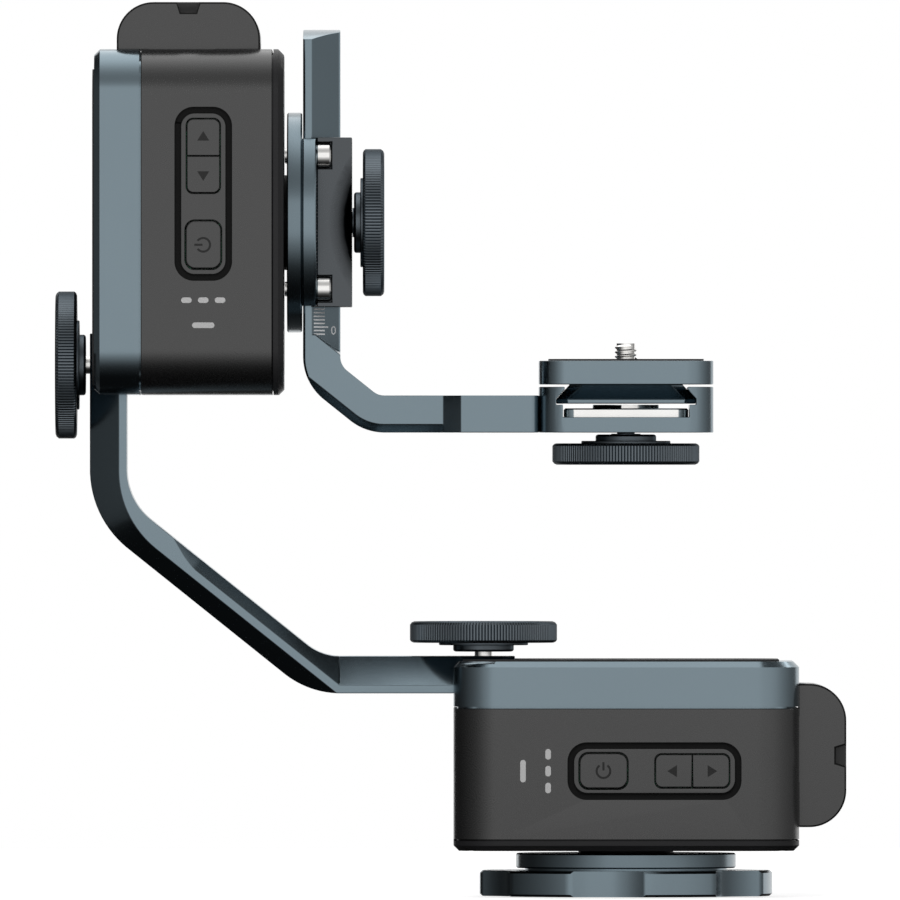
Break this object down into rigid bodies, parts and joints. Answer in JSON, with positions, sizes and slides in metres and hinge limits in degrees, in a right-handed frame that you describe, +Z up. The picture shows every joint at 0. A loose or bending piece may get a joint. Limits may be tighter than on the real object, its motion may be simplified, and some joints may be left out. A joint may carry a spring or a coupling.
{
  "type": "motorized pan head",
  "caption": "Two-axis motorized pan and tilt head with a scalloped foot, bent link arm, sliding camera arm and dovetail quick release",
  "frame": {"origin": "on the pan axis at the underside of the foot", "axes": "+Z up along the pan axis, -Y towards the control panels, +X from the link arm towards the pan module's battery"},
  "size_m": [0.2213, 0.0812, 0.2501],
  "materials": {
    "grey_anodised": "grey-blue bead-blasted anodising",
    "jaw_metal": "dark grey anodising",
    "knob_metal": "dark blue-grey anodising with a finely ribbed rim",
    "black_plastic": "fine satin black moulding",
    "button_plastic": "soft satin black",
    "black_metal": "satin black coating",
    "bare_aluminium": "plain machined",
    "motor_can": "dark plated can",
    "steel": "bright turned steel",
    "brass": "plain cut brass",
    "rubber": "thin black non-slip sheet",
    "light_lens": "frosted light window",
    "board": "green solder mask"
  },
  "bodies": {
    "base": {"base_foot": "grey_anodised", "base_screws": "steel", "pan_rotor_disc": "grey_anodised", "pan_output_shaft": "black_metal", "pan_output_gear": "brass"},
    "upper_frame": {"pan_housing": "black_plastic", "pan_bottom_cover": "black_metal", "pan_top_cover": "grey_anodised", "pan_top_pad": "rubber", "pan_bearing": "steel", "pan_motor": "motor_can", "pan_motor_plate": "bare_aluminium", "pan_control_board": "board", "pan_button_panel": "black_plastic", "pan_indicator_lights": "light_lens", "pan_cover_screws": "steel", "link_arm": "grey_anodised", "tilt_housing": "black_plastic", "tilt_bottom_cover": "black_metal", "tilt_top_cover": "grey_anodised", "tilt_top_pad": "rubber", "tilt_bearing": "steel", "tilt_motor": "motor_can", "tilt_motor_plate": "bare_aluminium", "tilt_control_board": "board", "tilt_button_panel": "black_plastic", "tilt_indicator_lights": "light_lens", "tilt_cover_screws": "steel"},
    "pan_pinion": {"pan_motor_pinion": "brass"},
    "pan_power": {"pan_power_button": "button_plastic"},
    "pan_left": {"pan_left_button": "button_plastic"},
    "pan_right": {"pan_right_button": "button_plastic"},
    "pan_pack": {"pan_battery": "black_plastic"},
    "pan_lock": {"pan_arm_knob": "knob_metal", "pan_arm_screw": "steel"},
    "tilt_lock": {"tilt_arm_knob": "knob_metal", "tilt_arm_screw": "steel"},
    "tilt_pinion": {"tilt_motor_pinion": "brass"},
    "tilt_power": {"tilt_power_button": "button_plastic"},
    "tilt_down": {"tilt_down_button": "button_plastic"},
    "tilt_up": {"tilt_up_button": "button_plastic"},
    "tilt_pack": {"tilt_battery": "black_plastic"},
    "tilt_rotor": {"tilt_rotor_disc": "grey_anodised", "tilt_output_shaft": "black_metal", "tilt_output_gear": "brass", "clamp_side_blocks": "grey_anodised", "clamp_cap_screws": "steel"},
    "jaw": {"clamp_jaw": "jaw_metal"},
    "jaw_knob": {"clamp_knob": "knob_metal", "clamp_knob_screw": "steel"},
    "camera_arm": {"camera_arm": "grey_anodised", "qr_clamp_base": "grey_anodised", "qr_base_screws": "steel"},
    "lock_pad": {"qr_lock_pad": "steel"},
    "lock_knob": {"qr_knob": "knob_metal", "qr_knob_screw": "steel"},
    "plate": {"qr_plate": "grey_anodised", "qr_plate_pad": "rubber"},
    "screw": {"camera_screw": "steel"}
  },
  "joints": [
    {"name": "pan_rotation", "type": "hinge", "parent": "base", "child": "upper_frame", "pos_m": [0, 0, 0.0129], "axis": [0, 0, 1], "continuous": true},
    {"name": "pan_pinion_spin", "type": "hinge", "parent": "upper_frame", "child": "pan_pinion", "pos_m": [-0.029, 0, 0.0253], "axis": [0, 0, 1], "continuous": true},
    {"name": "pan_power_press", "type": "slide", "parent": "upper_frame", "child": "pan_power", "axis": [0, 1, 0], "range_m": [0, 0.0005], "stiffness_N_per_m": 800, "springref_m": -0.0005},
    {"name": "pan_left_press", "type": "slide", "parent": "upper_frame", "child": "pan_left", "axis": [0, 1, 0], "range_m": [0, 0.0005], "stiffness_N_per_m": 800, "springref_m": -0.0005},
    {"name": "pan_right_press", "type": "slide", "parent": "upper_frame", "child": "pan_right", "axis": [0, 1, 0], "range_m": [0, 0.0005], "stiffness_N_per_m": 800, "springref_m": -0.0005},
    {"name": "pan_pack_slide", "type": "slide", "parent": "upper_frame", "child": "pan_pack", "axis": [1, 0, 0], "range_m": [0, 0.06]},
    {"name": "pan_lock_turn", "type": "hinge", "parent": "upper_frame", "child": "pan_lock", "pos_m": [-0.0399, 0, 0.0672], "axis": [0, 0, 1], "range_deg": [-540, 540]},
    {"name": "tilt_lock_turn", "type": "hinge", "parent": "upper_frame", "child": "tilt_lock", "pos_m": [-0.1501, 0, 0.1487], "axis": [1, 0, 0], "range_deg": [-540, 540]},
    {"name": "tilt_power_press", "type": "slide", "parent": "upper_frame", "child": "tilt_power", "axis": [0, 1, 0], "range_m": [0, 0.0005], "stiffness_N_per_m": 800, "springref_m": -0.0005},
    {"name": "tilt_down_press", "type": "slide", "parent": "upper_frame", "child": "tilt_down", "axis": [0, 1, 0], "range_m": [0, 0.0005], "stiffness_N_per_m": 800, "springref_m": -0.0005},
    {"name": "tilt_up_press", "type": "slide", "parent": "upper_frame", "child": "tilt_up", "axis": [0, 1, 0], "range_m": [0, 0.0005], "stiffness_N_per_m": 800, "springref_m": -0.0005},
    {"name": "tilt_pack_slide", "type": "slide", "parent": "upper_frame", "child": "tilt_pack", "axis": [0, 0, 1], "range_m": [0, 0.06]},
    {"name": "tilt_rotation", "type": "hinge", "parent": "upper_frame", "child": "tilt_rotor", "pos_m": [-0.0958, 0, 0.1886], "axis": [1, 0, 0], "continuous": true},
    {"name": "tilt_pinion_spin", "type": "hinge", "parent": "upper_frame", "child": "tilt_pinion", "pos_m": [-0.1082, 0, 0.1596], "axis": [1, 0, 0], "continuous": true},
    {"name": "jaw_slide", "type": "slide", "parent": "tilt_rotor", "child": "jaw", "axis": [1, 0, 0], "range_m": [0, 0.0012]},
    {"name": "jaw_knob_turn", "type": "hinge", "parent": "jaw", "child": "jaw_knob", "pos_m": [-0.0767, 0, 0.1886], "axis": [1, 0, 0], "range_deg": [-3, 435]},
    {"name": "camera_arm_slide", "type": "slide", "parent": "tilt_rotor", "child": "camera_arm", "axis": [0, 0, 1], "range_m": [-0.028, 0.006]},
    {"name": "lock_pad_lift", "type": "slide", "parent": "camera_arm", "child": "lock_pad", "axis": [0, 0, 1], "range_m": [0, 0.0002]},
    {"name": "lock_knob_turn", "type": "hinge", "parent": "lock_pad", "child": "lock_knob", "pos_m": [0, 0, 0.12975], "axis": [0, 0, 1], "range_deg": [-3, 93]},
    {"name": "plate_slide", "type": "slide", "parent": "camera_arm", "child": "plate", "axis": [0, 1, 0], "range_m": [-0.02, 0.02]},
    {"name": "camera_screw_turn", "type": "hinge", "parent": "plate", "child": "screw", "pos_m": [0, 0, 0.1526], "axis": [0, 0, 1], "continuous": true}
  ],
  "couplings": [
    {"joint": "pan_pinion_spin", "follows": "pan_rotation", "ratio": 3.1429},
    {"joint": "tilt_pinion_spin", "follows": "tilt_rotation", "ratio": -3.1429},
    {"joint": "jaw_knob_turn", "follows": "jaw_slide", "rad_per_m": 6283.2},
    {"joint": "lock_knob_turn", "follows": "lock_pad_lift", "rad_per_m": 7854}
  ]
}
